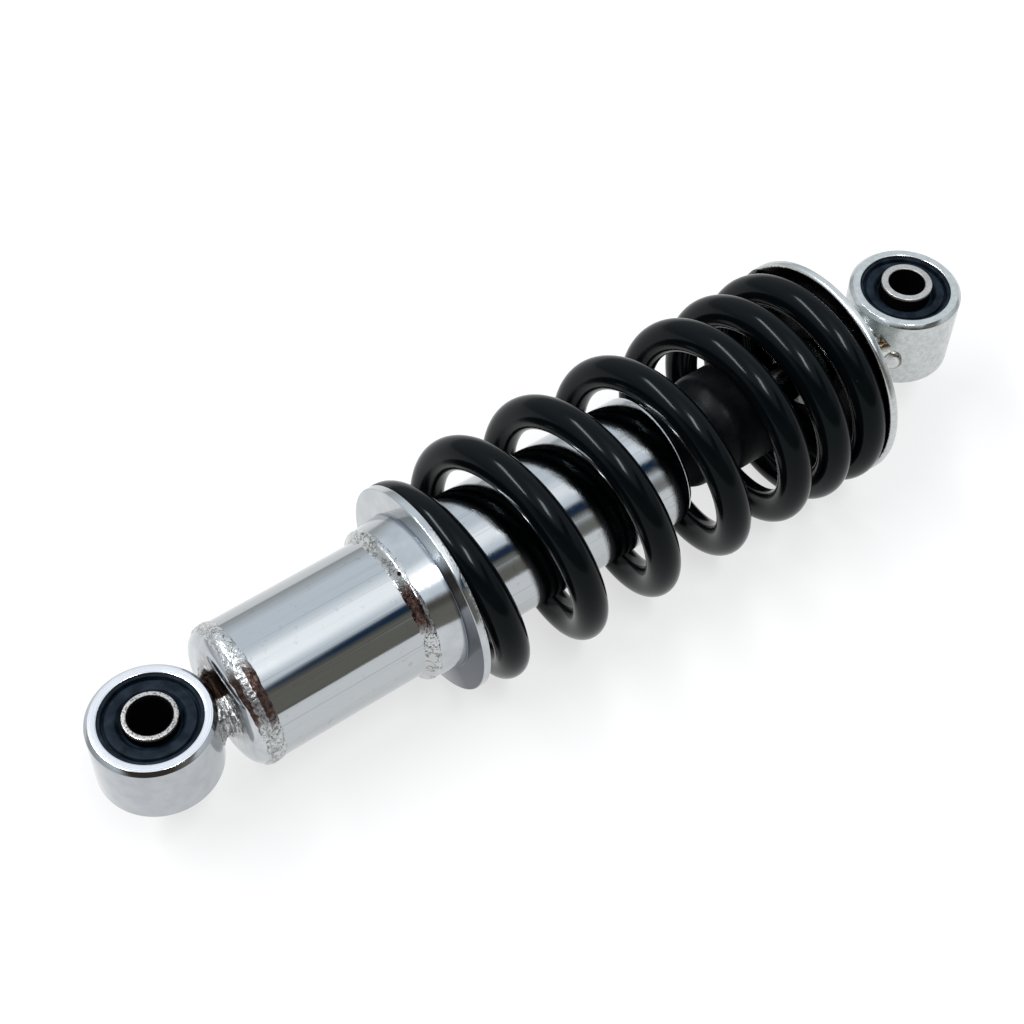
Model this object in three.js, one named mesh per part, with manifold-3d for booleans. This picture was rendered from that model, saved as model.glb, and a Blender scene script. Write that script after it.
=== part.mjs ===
// Rear shock absorber: a coil spring over a twin-tube oil damper, with a rubber-bushed eye at
// each end. Millimetres, +Z up.
//
// Frame: the origin is the middle of the lower eye's bolt bore. +Z runs along both bolt bores and
// +X runs along the shock, from the lower eye to the upper eye. The shock is fully extended.

import * as THREE from 'three';
import { mergeVertices } from 'three/addons/utils/BufferGeometryUtils.js';
import Module from 'manifold-3d';

const wasm = await Module();
wasm.setup();

// ---- Driving dimensions -------------------------------------------------------------------

const EYE_TO_EYE = 250;        // between the two bolt bores, fully extended
const BOLT_BORE_R = 5.25;      // clears a 10 mm bolt
const EYE_R = 16.2;            // outer radius of both eye rings
const EYE_BORE_R = 13;         // radius of the ring's bore, which holds the rubber bush
const TUBE_R = 19.4;           // outer radius of the damper tube
const TUBE_WALL = 1.8;
const TUBE_BORE_R = TUBE_R - TUBE_WALL;
const TUBE_START = 21.5;       // the tube's two ends along X
const TUBE_END = 156;
const SPRING_WIRE_R = 4.7;     // radius of the spring wire
const SPRING_MEAN_R = 28.8;    // radius of the wire's centre line
const LOWER_SEAT_FACE = 80.5;  // the faces that the spring stands on
const UPPER_SEAT_FACE = 214.8;
const COIL_Y = -0.6;           // the spring and its upper seat have play round the tube and the rod,
const COIL_Z = -0.7;           // and lie this far to one side
const ROD_R = 6;               // radius of the piston rod
const CYLINDER_R = 13.8;       // outer radius of the pressure cylinder
const CYLINDER_BORE_R = 12.5;

const FIT = 0.1;               // gap between pieces that are pressed or welded together
const RUNNING_FIT = 0.2;       // gap around a piece that slides and turns inside another one
const SLACK = 0.3;             // gap between the ends of pieces that meet across a joint

const ROUND = 36;              // sides of a large round piece
const SMALL_ROUND = 24;        // sides of a small or hidden round piece

// ---- Materials ----------------------------------------------------------------------------

function metal(name, color, roughness) {
  return new THREE.MeshStandardMaterial({ name, color, roughness, metalness: 1 });
}

function soft(name, color, roughness) {
  return new THREE.MeshStandardMaterial({ name, color, roughness, metalness: 0 });
}

const CHROME = metal('chrome', 0xd9dde2, 0.12);
const WELD = metal('weld', 0xb4b2ae, 0.4);
const ZINC = metal('zinc', 0xc3c8cd, 0.35);
const STEEL = metal('steel', 0xa9a8a6, 0.35);
const ALUMINIUM = metal('aluminium', 0xb9bcc0, 0.4);
const BRONZE = metal('bronze', 0x9c7b4a, 0.35);
const GLOSS_BLACK = soft('gloss_black', 0x0b0d10, 0.12);
const RUBBER = soft('rubber', 0x10141b, 0.6);
const NYLON = soft('nylon', 0x2a2c2f, 0.5);

// ---- Shape helpers ------------------------------------------------------------------------

// Merged positions only, with every face turned outwards.
function closedGeometry(geometry) {
  const bare = geometry.index ? geometry.toNonIndexed() : geometry.clone();
  bare.deleteAttribute('normal');
  bare.deleteAttribute('uv');
  const merged = mergeVertices(bare, 1e-4);
  const position = merged.attributes.position;
  const index = Array.from(merged.index.array);
  const kept = [];
  let volume = 0;
  for (let i = 0; i < index.length; i += 3) {
    const [a, b, c] = index.slice(i, i + 3);
    if (a === b || b === c || c === a) {
      continue;
    }
    kept.push(a, b, c);
    const [p, q, r] = [a, b, c].map((v) => new THREE.Vector3().fromBufferAttribute(position, v));
    volume += p.dot(q.cross(r));
  }
  if (volume < 0) {
    kept.reverse();
  }
  merged.setIndex(kept);
  return merged;
}

// A closed outline of [radius, place along the axis] points, turned about +X.
function turnedAlongX(outline, sides = ROUND) {
  const points = [...outline, outline[0]].map(([radius, along]) => new THREE.Vector2(radius, along));
  const geometry = new THREE.LatheGeometry(points, sides);
  return closedGeometry(geometry.rotateZ(-Math.PI / 2));
}

// The same, turned about +Z.
function turnedAlongZ(outline, sides = ROUND) {
  const points = [...outline, outline[0]].map(([radius, along]) => new THREE.Vector2(radius, along));
  const geometry = new THREE.LatheGeometry(points, sides);
  return closedGeometry(geometry.rotateX(Math.PI / 2));
}

// A plain ring between two radii and two places along its axis.
function ringOutline(inner, outer, start, end) {
  return [[inner, start], [outer, start], [outer, end], [inner, end]];
}

// A solid rod's outline starts and ends on the axis.
function rodOutline(steps) {
  const first = steps[0][1];
  const last = steps[steps.length - 1][1];
  return [[0, first], ...steps, [0, last]];
}

// Points of an arc in an outline, from one angle to another in degrees.
function arc(centreR, centreX, radius, from, to, count) {
  const points = [];
  for (let i = 0; i <= count; i += 1) {
    const angle = THREE.MathUtils.degToRad(from + ((to - from) * i) / count);
    points.push([centreR + radius * Math.sin(angle), centreX + radius * Math.cos(angle)]);
  }
  return points;
}

function solid(geometry) {
  return new wasm.Manifold(new wasm.Mesh({
    numProp: 3,
    vertProperties: new Float32Array(geometry.attributes.position.array),
    triVerts: new Uint32Array(geometry.index.array),
  }));
}

function fromSolid(manifold) {
  const mesh = manifold.getMesh();
  const geometry = new THREE.BufferGeometry();
  geometry.setAttribute('position', new THREE.BufferAttribute(mesh.vertProperties, 3));
  geometry.setIndex(new THREE.BufferAttribute(mesh.triVerts, 1));
  return closedGeometry(geometry);
}

function cutAway(geometry, ...tools) {
  let result = solid(geometry);
  for (const tool of tools) {
    result = result.subtract(solid(tool));
  }
  return fromSolid(result);
}

const shock = new THREE.Group();

function add(name, geometry, material) {
  const mesh = new THREE.Mesh(geometry, material);
  mesh.name = name;
  shock.add(mesh);
  return mesh;
}

// ---- Eyes: ring, rubber bush and steel sleeve ---------------------------------------------

// Both eyes have the same ring and bush section. The upper one is wider, with a longer sleeve.
const LOWER_EYE = { name: 'lower', x: 0, ringHalf: 10.4, sleeveHalf: 11.4, sleeveR: 7, lip: 0.6 };
const UPPER_EYE = { name: 'upper', x: EYE_TO_EYE, ringHalf: 12.25, sleeveHalf: 14.4, sleeveR: 7.3, lip: 0.3 };

const EYE_CHAMFER = 1.05;
const BUSH_RECESS = 0.3;       // how far the bush's outer lip lies below the ring's face
const BUSH_STEP = 0.4;         // how far the rest of the bush lies below its lip
const BUSH_GROOVE_R = 11.7;    // a moulded groove runs round the bush, inside its outer lip
const BUSH_GROOVE_DEPTH = 1;
const BUSH_GROOVE_WIDTH = 0.9;

function eyeRing({ ringHalf }) {
  const edge = ringHalf - EYE_CHAMFER;
  return turnedAlongZ([
    [EYE_BORE_R, -ringHalf], [EYE_R - EYE_CHAMFER, -ringHalf], [EYE_R, -edge],
    [EYE_R, edge], [EYE_R - EYE_CHAMFER, ringHalf], [EYE_BORE_R, ringHalf],
  ]);
}

function eyeBush({ ringHalf, sleeveR }) {
  const lip = ringHalf - BUSH_RECESS;
  const floor = lip - BUSH_GROOVE_DEPTH;
  const face = lip - BUSH_STEP;
  const grooveInner = BUSH_GROOVE_R - BUSH_GROOVE_WIDTH;
  const upperHalf = [
    [EYE_BORE_R - FIT, lip], [BUSH_GROOVE_R, lip], [BUSH_GROOVE_R, floor], [grooveInner, floor],
    [grooveInner, face], [sleeveR + FIT, face],
  ];
  const lowerHalf = upperHalf.map(([radius, z]) => [radius, -z]).reverse();
  return turnedAlongZ([...upperHalf, ...lowerHalf]);
}

function eyeSleeve({ sleeveHalf, sleeveR, lip }) {
  const edge = sleeveHalf - lip;
  return turnedAlongZ([
    [BOLT_BORE_R + lip, -sleeveHalf], [sleeveR, -sleeveHalf], [sleeveR, sleeveHalf],
    [BOLT_BORE_R + lip, sleeveHalf], [BOLT_BORE_R, edge], [BOLT_BORE_R, -edge],
  ]);
}

for (const eye of [LOWER_EYE, UPPER_EYE]) {
  add(`${eye.name}_eye`, eyeRing(eye), eye === LOWER_EYE ? CHROME : ZINC).position.x = eye.x;
  add(`${eye.name}_bush`, eyeBush(eye), RUBBER).position.x = eye.x;
  add(`${eye.name}_sleeve`, eyeSleeve(eye), STEEL).position.x = eye.x;
}

// ---- Lower end: cap, necks and weld beads ---------------------------------------------------

const CAP_FACE = 18.4;         // the end cap's outer face
const CAP_SHOULDER = 5;        // radius of the cap's rounded edge
const CAP_END = 27;
const CAP_WALL = 2.5;
const CAP_FLOOR = 3;           // thickness of the cap's flat end
const EDGE_ROUND = 0.9;
const NECK = { start: 9, end: CAP_FACE + 2, wide: 11.4, waist: 7, waistX: 16.6, half: 7.2 };

// A pressed cup, open towards the inside of the tube.
function endCap() {
  const outer = TUBE_R - TUBE_WALL - FIT;
  const rim = TUBE_START - FIT;
  const rimAngle = 90 + THREE.MathUtils.radToDeg(Math.asin((CAP_FACE + CAP_SHOULDER - rim) / CAP_SHOULDER));
  return turnedAlongX([
    [0, CAP_FACE],
    ...arc(TUBE_R - CAP_SHOULDER, CAP_FACE + CAP_SHOULDER, CAP_SHOULDER, 180, rimAngle, 4),
    [outer, rim], [outer, CAP_END], [outer - CAP_WALL, CAP_END],
    [outer - CAP_WALL, CAP_FACE + CAP_FLOOR], [0, CAP_FACE + CAP_FLOOR],
  ]);
}

// A weld bead is a half-round ring lying on the metal it joins.
function weldBead(x, seatR, width, height) {
  return arc(seatR, x, 1, 0, 180, 6).map(([radius, along]) => [
    seatR + (radius - seatR) * height,
    x + (along - x) * (width / 2),
  ]);
}

// An outline in the XY plane made into a slab that is as thick above the plane as below it, with
// its edges rounded. The rounding widens the outline by EDGE_ROUND.
function roundedSlab(outline, half) {
  const geometry = new THREE.ExtrudeGeometry(outline, {
    depth: 2 * (half - EDGE_ROUND), bevelThickness: EDGE_ROUND, bevelSize: EDGE_ROUND,
    bevelSegments: 2, curveSegments: 8,
  });
  return closedGeometry(geometry.translate(0, 0, EDGE_ROUND - half));
}

// The block that joins the lower eye ring to the end cap, waisted by a hollow arc on each side.
function lowerNeck() {
  const outline = new THREE.Shape();
  outline.moveTo(NECK.start, -NECK.wide);
  outline.quadraticCurveTo(NECK.waistX, -NECK.waist, NECK.end, -NECK.wide);
  outline.lineTo(NECK.end, NECK.wide);
  outline.quadraticCurveTo(NECK.waistX, NECK.waist, NECK.start, NECK.wide);
  return cutAway(roundedSlab(outline, NECK.half), roundTool(0, EYE_R + FIT), capTool());
}

// Everything beyond the end cap's face.
function capTool() {
  return turnedAlongX(rodOutline([[EYE_R * 2, CAP_FACE - FIT], [EYE_R * 2, CAP_END]]));
}

// A cylinder along Z, longer than either eye.
function roundTool(x, radius) {
  return turnedAlongZ(rodOutline([[radius, -EYE_R], [radius, EYE_R]])).translate(x, 0, 0);
}

add('end_cap', endCap(), CHROME);
add('end_weld', turnedAlongX(weldBead(TUBE_START + 1.9, TUBE_R + FIT, 4.6, 0.6)), WELD);
add('lower_eye_weld', lowerNeck(), WELD);

// ---- Damper tube with its rolled end --------------------------------------------------------

const ROLL_R = 2.6;            // radius of the edge that is rolled in over the seal
const ROLL_MOUTH_R = 15.6;     // radius of the opening inside the rolled edge

function damperTube() {
  const centreR = TUBE_R - ROLL_R;
  const centreX = TUBE_END - ROLL_R;
  return turnedAlongX([
    [TUBE_BORE_R, TUBE_START], [TUBE_R, TUBE_START],
    ...arc(centreR, centreX, ROLL_R, 90, 0, 5),
    [ROLL_MOUTH_R, TUBE_END], [ROLL_MOUTH_R, TUBE_END - TUBE_WALL],
    ...arc(centreR, centreX, ROLL_R - TUBE_WALL, 0, 90, 3),
  ]);
}

add('damper_tube', damperTube(), CHROME);

// ---- Lower spring seat: a flange on a collar that is welded round the tube ------------------

const SEAT_FLANGE_R = 29.8;
const SEAT_FLANGE = 2.3;       // thickness of the flange
const SEAT_COLLAR_R = 21.6;    // the collar widens a little towards the flange
const SEAT_COLLAR_END_R = 22.6;
const SEAT_START = 69.6;
const SEAT_FILLET = 0.6;
const SEAT_EDGE = 0.5;         // chamfer on the seat's edges

function lowerSeat() {
  const back = LOWER_SEAT_FACE - SEAT_FLANGE;
  const bore = TUBE_R + FIT;
  return turnedAlongX([
    [bore, SEAT_START], [SEAT_COLLAR_R - SEAT_EDGE, SEAT_START], [SEAT_COLLAR_R, SEAT_START + SEAT_EDGE],
    ...arc(SEAT_COLLAR_END_R + SEAT_FILLET, back - SEAT_FILLET, SEAT_FILLET, 270, 360, 2),
    [SEAT_FLANGE_R - SEAT_EDGE, back], [SEAT_FLANGE_R, back + SEAT_EDGE],
    [SEAT_FLANGE_R, LOWER_SEAT_FACE - SEAT_EDGE], [SEAT_FLANGE_R - SEAT_EDGE, LOWER_SEAT_FACE],
    [bore, LOWER_SEAT_FACE],
  ]);
}

// The bead laps over the collar's chamfered end.
function seatWeld() {
  const bead = turnedAlongX(weldBead(SEAT_START - 0.2, TUBE_R + FIT, 4, 2));
  const start = SEAT_START - FIT;
  const end = SEAT_START + 5;
  const collar = turnedAlongX([
    [0, start], [SEAT_COLLAR_R - SEAT_EDGE + FIT, start], [SEAT_COLLAR_R + FIT, SEAT_START + SEAT_EDGE],
    [SEAT_COLLAR_R + FIT, end], [0, end],
  ]);
  return cutAway(bead, collar);
}

add('lower_spring_seat', lowerSeat(), CHROME);
add('seat_weld', seatWeld(), WELD);

// ---- Inside the damper: base valve, pressure cylinder and rod guide --------------------------

const BASE_START = 29;         // the base valve's two ends
const BASE_END = 36;
const BASE_BORE_R = 2.6;
const RIVET_HEAD_R = 4.6;
const RIVET_HEAD = 1.6;        // thickness of each of the rivet's heads
const SHIM_STACK = 0.8;        // thickness of each pack of shims
const CYLINDER_START = 33;
const GUIDE_START = 138;
const GUIDE_END = 150;
const GUIDE_STEP = GUIDE_START + 6;   // where the guide's wide part sits on the cylinder's end
const GUIDE_BUSH_R = ROD_R + 1.2;
const SEAL_START = GUIDE_END + FIT;
const SEAL = 3;                // thickness of the seal without its lip

// A ring of round cutters along X.
function ports(count, pitchR, radius, start, end) {
  const tools = [];
  for (let i = 0; i < count; i += 1) {
    const angle = (2 * Math.PI * i) / count;
    const tool = turnedAlongX(rodOutline([[radius, start], [radius, end]]), 10);
    tools.push(tool.translate(0, pitchR * Math.cos(angle), pitchR * Math.sin(angle)));
  }
  return tools;
}

// The base valve closes the cylinder's lower end. Oil passes it through six ports.
function baseValve() {
  const plugR = CYLINDER_BORE_R - FIT;
  const body = turnedAlongX([
    [BASE_BORE_R, BASE_START], [CYLINDER_R, BASE_START], [CYLINDER_R, CYLINDER_START - FIT],
    [plugR, CYLINDER_START - FIT], [plugR, BASE_END], [BASE_BORE_R, BASE_END],
  ], SMALL_ROUND);
  return cutAway(body, ...ports(6, 8.6, 1.3, BASE_START - 1, BASE_END + 1));
}

// The rivet runs through the base valve and holds its shims.
function baseRivet() {
  const shankR = BASE_BORE_R - FIT;
  const lower = BASE_START - FIT;
  const upper = BASE_END + SHIM_STACK + 2 * FIT;
  return turnedAlongX(rodOutline([
    [RIVET_HEAD_R, lower - RIVET_HEAD], [RIVET_HEAD_R, lower], [shankR, lower],
    [shankR, upper], [RIVET_HEAD_R, upper], [RIVET_HEAD_R, upper + RIVET_HEAD],
  ]), SMALL_ROUND);
}

add('base_valve', baseValve(), STEEL);
add('base_valve_shims', turnedAlongX(
  ringOutline(BASE_BORE_R, 11, BASE_END + FIT, BASE_END + FIT + SHIM_STACK), SMALL_ROUND), STEEL);
add('base_valve_rivet', baseRivet(), STEEL);
add('pressure_cylinder', turnedAlongX(
  ringOutline(CYLINDER_BORE_R, CYLINDER_R, CYLINDER_START, GUIDE_STEP), SMALL_ROUND), STEEL);

// The rod guide plugs the cylinder, centres it in the tube and carries the rod's bush.
add('rod_guide', turnedAlongX([
  [GUIDE_BUSH_R + FIT, GUIDE_START], [CYLINDER_BORE_R - FIT, GUIDE_START],
  [CYLINDER_BORE_R - FIT, GUIDE_STEP + FIT], [TUBE_BORE_R - SLACK, GUIDE_STEP + FIT],
  [TUBE_BORE_R - SLACK, GUIDE_END], [GUIDE_BUSH_R + FIT, GUIDE_END],
], SMALL_ROUND), ALUMINIUM);
add('guide_bush', turnedAlongX(
  ringOutline(ROD_R + RUNNING_FIT, GUIDE_BUSH_R, GUIDE_START + 1, GUIDE_END - 1), SMALL_ROUND), BRONZE);
add('rod_seal', turnedAlongX([
  [ROD_R + RUNNING_FIT, SEAL_START], [TUBE_BORE_R - SLACK, SEAL_START],
  [TUBE_BORE_R - SLACK, SEAL_START + SEAL], [ROD_R + SEAL, SEAL_START + SEAL],
  [ROD_R + RUNNING_FIT, SEAL_START + 4.2],
], SMALL_ROUND), RUBBER);
add('seal_washer', turnedAlongX(ringOutline(
  ROD_R + SEAL + SLACK, ROLL_MOUTH_R - SLACK, SEAL_START + SEAL + FIT, SEAL_START + SEAL + 1.6,
), SMALL_ROUND), STEEL);

// ---- Piston rod and piston --------------------------------------------------------------------

const SEAT_DISC = 2.4;         // thickness of the upper spring seat
const STUB_R = 8.2;            // the stub that stands on the upper eye
const STUB_START = UPPER_SEAT_FACE + SEAT_DISC + SLACK;
const PISTON_START = 112;
const PISTON_END = 121;
const ROD_TIP = 103.5;
const SPIGOT_R = 4;            // the rod's thinner end, which carries the piston
const SPIGOT_END = PISTON_END + SHIM_STACK + 2 * FIT;
const STUD_R = 5;              // the rod's threaded end, inside the stub
const STUD_START = UPPER_SEAT_FACE - 1;
const STUD_END = 226;
const PISTON_SHIM_R = 9.6;

add('piston_rod', turnedAlongX(rodOutline([
  [SPIGOT_R, ROD_TIP], [SPIGOT_R, SPIGOT_END], [ROD_R, SPIGOT_END],
  [ROD_R, STUD_START], [STUD_R, STUD_START], [STUD_R, STUD_END],
]), SMALL_ROUND), CHROME);

// The piston has six ports, and a groove that holds its nylon band.
const BAND_START = PISTON_START + 2;
const BAND_END = PISTON_END - 2;
const BAND_GROOVE_R = 10.9;

function piston() {
  const skirt = CYLINDER_BORE_R - 2 * RUNNING_FIT;
  const bore = SPIGOT_R + FIT;
  const body = turnedAlongX([
    [bore, PISTON_START], [skirt, PISTON_START], [skirt, BAND_START], [BAND_GROOVE_R, BAND_START],
    [BAND_GROOVE_R, BAND_END], [skirt, BAND_END], [skirt, PISTON_END], [bore, PISTON_END],
  ], SMALL_ROUND);
  return cutAway(body, ...ports(6, 7.6, 1.2, PISTON_START - 1, PISTON_END + 1));
}

function pistonShims(start) {
  return turnedAlongX(ringOutline(SPIGOT_R + FIT, PISTON_SHIM_R, start, start + SHIM_STACK), SMALL_ROUND);
}

add('piston', piston(), STEEL);
add('piston_band', turnedAlongX(ringOutline(
  BAND_GROOVE_R + FIT, CYLINDER_BORE_R - RUNNING_FIT, BAND_START + FIT, BAND_END - FIT), SMALL_ROUND), NYLON);
add('rebound_shims', pistonShims(PISTON_START - FIT - SHIM_STACK), STEEL);
add('compression_shims', pistonShims(PISTON_END + FIT), STEEL);
add('rebound_stop', turnedAlongX(
  ringOutline(ROD_R + FIT, 10.5, SPIGOT_END + FIT, GUIDE_START - SLACK), SMALL_ROUND), NYLON);

// A hexagon nut with a round hole, its flats across the given width.
function hexNut(acrossFlats, hole, start, end) {
  const corner = acrossFlats / Math.sqrt(3);
  const block = turnedAlongX(rodOutline([[corner, start], [corner, end]]), 6);
  const bore = turnedAlongX(rodOutline([[hole, start - 1], [hole, end + 1]]), SMALL_ROUND);
  return cutAway(block, bore);
}

const PISTON_NUT_END = PISTON_START - SHIM_STACK - 2 * FIT;
add('piston_nut', hexNut(13, SPIGOT_R + FIT, PISTON_NUT_END - 6, PISTON_NUT_END), STEEL);

// ---- Bump stop, upper spring seat and lock nut ------------------------------------------------

const BUMP_START = TUBE_END + SLACK;
const BUMP_END = 195;
const BUMP_R = 15.2;
const BUMP_TIP_R = 9.5;
const BUMP_GROOVE = { r: 12.4, x: 170.5, half: 2 };   // between its small lobe and its large one
const BUMP_LOBE_R = 13.8;      // radius of the small lobe

function bumpStop() {
  const bore = ROD_R + SLACK;
  const lobeEnd = BUMP_GROOVE.x - BUMP_GROOVE.half;
  const mainStart = BUMP_GROOVE.x + BUMP_GROOVE.half;
  return turnedAlongX([
    [bore, BUMP_START], [BUMP_TIP_R, BUMP_START], [BUMP_LOBE_R - 2, lobeEnd - 6.5],
    [BUMP_LOBE_R, lobeEnd - 3], [BUMP_LOBE_R - 0.2, lobeEnd], [BUMP_GROOVE.r, BUMP_GROOVE.x],
    [BUMP_LOBE_R, mainStart], [BUMP_R, mainStart + 3.5], [BUMP_R, BUMP_END - 7],
    [BUMP_R - 1.2, BUMP_END - 2.5], [BUMP_R - 3.7, BUMP_END], [bore, BUMP_END],
  ], SMALL_ROUND);
}

add('bump_stop', bumpStop(), RUBBER);

const UPPER_DISC_R = 33.3;
const DISC_BORE_R = ROD_R + 0.6;
const DISC_ROUND = 1.1;        // the disc's edge is rounded on the spring's side
const LOCK_NUT = 5;            // thickness of the thin lock nut under the upper seat
const LOCK_NUT_FLATS = 19;

// The upper seat is a round plate with chamfered edges, which the spring holds against the stub.
function upperSeat() {
  const back = UPPER_SEAT_FACE + SEAT_DISC;
  return turnedAlongX([
    [DISC_BORE_R, UPPER_SEAT_FACE],
    ...arc(UPPER_DISC_R - DISC_ROUND, UPPER_SEAT_FACE + DISC_ROUND, DISC_ROUND, 180, 90, 3),
    [UPPER_DISC_R, back - SEAT_EDGE],
    [UPPER_DISC_R - SEAT_EDGE, back], [DISC_BORE_R, back],
  ]);
}

add('upper_spring_seat', upperSeat(), ZINC).position.set(0, COIL_Y, COIL_Z);
add('lock_nut', hexNut(
  LOCK_NUT_FLATS, ROD_R + FIT, UPPER_SEAT_FACE - SLACK - LOCK_NUT, UPPER_SEAT_FACE - SLACK), ZINC);

// ---- Upper end: threaded stub and its welds ---------------------------------------------------

function stub() {
  const end = EYE_TO_EYE - EYE_BORE_R;
  const body = turnedAlongX([
    [STUD_R + FIT, STUB_START], [STUB_R, STUB_START], [STUB_R, end],
    [0, end], [0, STUD_END + SLACK], [STUD_R + FIT, STUD_END + SLACK],
  ], SMALL_ROUND);
  return cutAway(body, roundTool(EYE_TO_EYE, EYE_R + FIT));
}

add('upper_stub', stub(), ZINC);

// One fillet weld on each side of the stub, spreading on to the eye ring.
const FILLET = { start: 227, bend: 236, end: 240, reach: 12, half: 5.8 };

function filletWeld(side) {
  const outline = new THREE.Shape();
  outline.moveTo(FILLET.start, 0);
  outline.lineTo(FILLET.start, side * STUB_R);
  outline.quadraticCurveTo(FILLET.bend, side * STUB_R, FILLET.end - 1, side * FILLET.reach);
  outline.lineTo(FILLET.end, 0);
  const stubTool = turnedAlongX(rodOutline([
    [STUB_R + FIT, FILLET.start - EYE_R], [STUB_R + FIT, EYE_TO_EYE],
  ]), SMALL_ROUND);
  return cutAway(roundedSlab(outline, FILLET.half), stubTool, roundTool(EYE_TO_EYE, EYE_R + FIT));
}

add('upper_weld_front', filletWeld(-1), WELD);
add('upper_weld_back', filletWeld(1), WELD);

// ---- Coil spring --------------------------------------------------------------------------------

// The coils are wide apart over the damper and close together at the upper end, and each end is
// ground flat. Turns are counted from the lower tip, which lies TIP_TURN before +Y. The pitch is
// how far one turn climbs.
const TIP_TURN = -0.34;
const WIDE_PITCH = 24.6;
const CLOSE_PITCH = 14.35;
const END_PITCH = 8.5;
const LOWER_END_TURN = 0.25;   // where the wire leaves the lower seat
const CLOSE_TURN = 4.25;       // where the coils draw together
const UPPER_END_TURN = 6.25;   // where the wire comes down on the upper seat
const LAST_TURN = 7.1;
const FIRST_X = 78.2;          // the centre line's place at the lower tip
const END_RISE = 3.5;          // how far it climbs along the lower end coil
const END_TUCK = 2.5;          // how much smaller the lower end coil's radius is
const TUCK_START = 0.2;        // the turns over which the coil widens to its full radius
const TUCK_END = 1.2;
const STEPS_PER_TURN = 20;
const WIRE_SIDES = 10;

class SpringLine extends THREE.Curve {
  along(turn) {
    const wide = Math.max(0, Math.min(turn, CLOSE_TURN) - LOWER_END_TURN);
    const close = Math.max(0, Math.min(turn, UPPER_END_TURN) - CLOSE_TURN);
    const last = Math.max(0, turn - UPPER_END_TURN);
    const first = Math.min(1, (turn - TIP_TURN) / (LOWER_END_TURN - TIP_TURN));
    return FIRST_X + END_RISE * first + WIDE_PITCH * wide + CLOSE_PITCH * close + END_PITCH * last;
  }

  radius(turn) {
    const tucked = THREE.MathUtils.clamp((TUCK_END - turn) / (TUCK_END - TUCK_START), 0, 1);
    return SPRING_MEAN_R - END_TUCK * tucked;
  }

  getPoint(t, target = new THREE.Vector3()) {
    const turn = TIP_TURN + (LAST_TURN - TIP_TURN) * t;
    const angle = 2 * Math.PI * turn;
    const radius = this.radius(turn);
    return target.set(
      this.along(turn), COIL_Y + radius * Math.cos(angle), COIL_Z + radius * Math.sin(angle));
  }
}

function coilSpring() {
  const section = new THREE.Shape();
  for (let i = 0; i < WIRE_SIDES; i += 1) {
    const angle = (2 * Math.PI * i) / WIRE_SIDES;
    const [u, v] = [SPRING_WIRE_R * Math.cos(angle), SPRING_WIRE_R * Math.sin(angle)];
    if (i === 0) {
      section.moveTo(u, v);
    } else {
      section.lineTo(u, v);
    }
  }
  const wire = closedGeometry(new THREE.ExtrudeGeometry(section, {
    steps: Math.round((LAST_TURN - TIP_TURN) * STEPS_PER_TURN), extrudePath: new SpringLine(),
  }));
  const reach = SPRING_MEAN_R + 2 * SPRING_WIRE_R;
  const first = LOWER_SEAT_FACE + FIT;
  const last = UPPER_SEAT_FACE - FIT;
  const below = turnedAlongX(rodOutline([[reach, first - reach], [reach, first]]));
  const above = turnedAlongX(rodOutline([[reach, last], [reach, last + reach]]));
  return cutAway(wire, below, above);
}

add('coil_spring', coilSpring(), GLOSS_BLACK);

export default shock;
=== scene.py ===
"""Looks for the rear shock absorber: a black coil spring over a chromed damper, with two bushed eyes.

Everything is in metres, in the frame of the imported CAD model: the origin is the middle of the lower
eye's bore, +X runs to the upper eye and +Z along the bolt bores.
"""

import math

import bpy
import numpy as np
from mathutils import Matrix, Vector, noise


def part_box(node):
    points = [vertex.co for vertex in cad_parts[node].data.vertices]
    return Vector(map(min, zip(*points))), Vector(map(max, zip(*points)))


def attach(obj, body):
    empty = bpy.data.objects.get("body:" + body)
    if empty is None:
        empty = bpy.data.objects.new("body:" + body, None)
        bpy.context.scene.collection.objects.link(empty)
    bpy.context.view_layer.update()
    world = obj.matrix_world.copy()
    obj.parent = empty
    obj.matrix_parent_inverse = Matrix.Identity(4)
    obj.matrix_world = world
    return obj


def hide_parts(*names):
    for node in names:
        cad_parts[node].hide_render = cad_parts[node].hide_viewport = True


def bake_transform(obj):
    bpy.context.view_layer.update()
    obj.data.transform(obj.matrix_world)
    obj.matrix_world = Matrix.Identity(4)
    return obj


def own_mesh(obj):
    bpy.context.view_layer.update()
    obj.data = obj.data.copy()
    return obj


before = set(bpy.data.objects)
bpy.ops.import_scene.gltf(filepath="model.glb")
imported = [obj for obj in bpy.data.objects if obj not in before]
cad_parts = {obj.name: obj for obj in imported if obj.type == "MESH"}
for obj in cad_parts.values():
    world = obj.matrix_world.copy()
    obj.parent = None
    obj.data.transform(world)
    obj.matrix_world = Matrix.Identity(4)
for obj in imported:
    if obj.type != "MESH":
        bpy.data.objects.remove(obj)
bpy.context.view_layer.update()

MM = 0.001


# ---- Sizes read from the frame ----

def span_x(node):
    """Where a node turned about X starts and ends, and its outer radius."""
    low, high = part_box(node)
    return low.x, high.x, (high.y - low.y) / 2


def round_z(node):
    """Where a node turned about Z stands along X, its half height and its outer radius."""
    low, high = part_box(node)
    return (low.x + high.x) / 2, (high.z - low.z) / 2, (high.y - low.y) / 2


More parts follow.
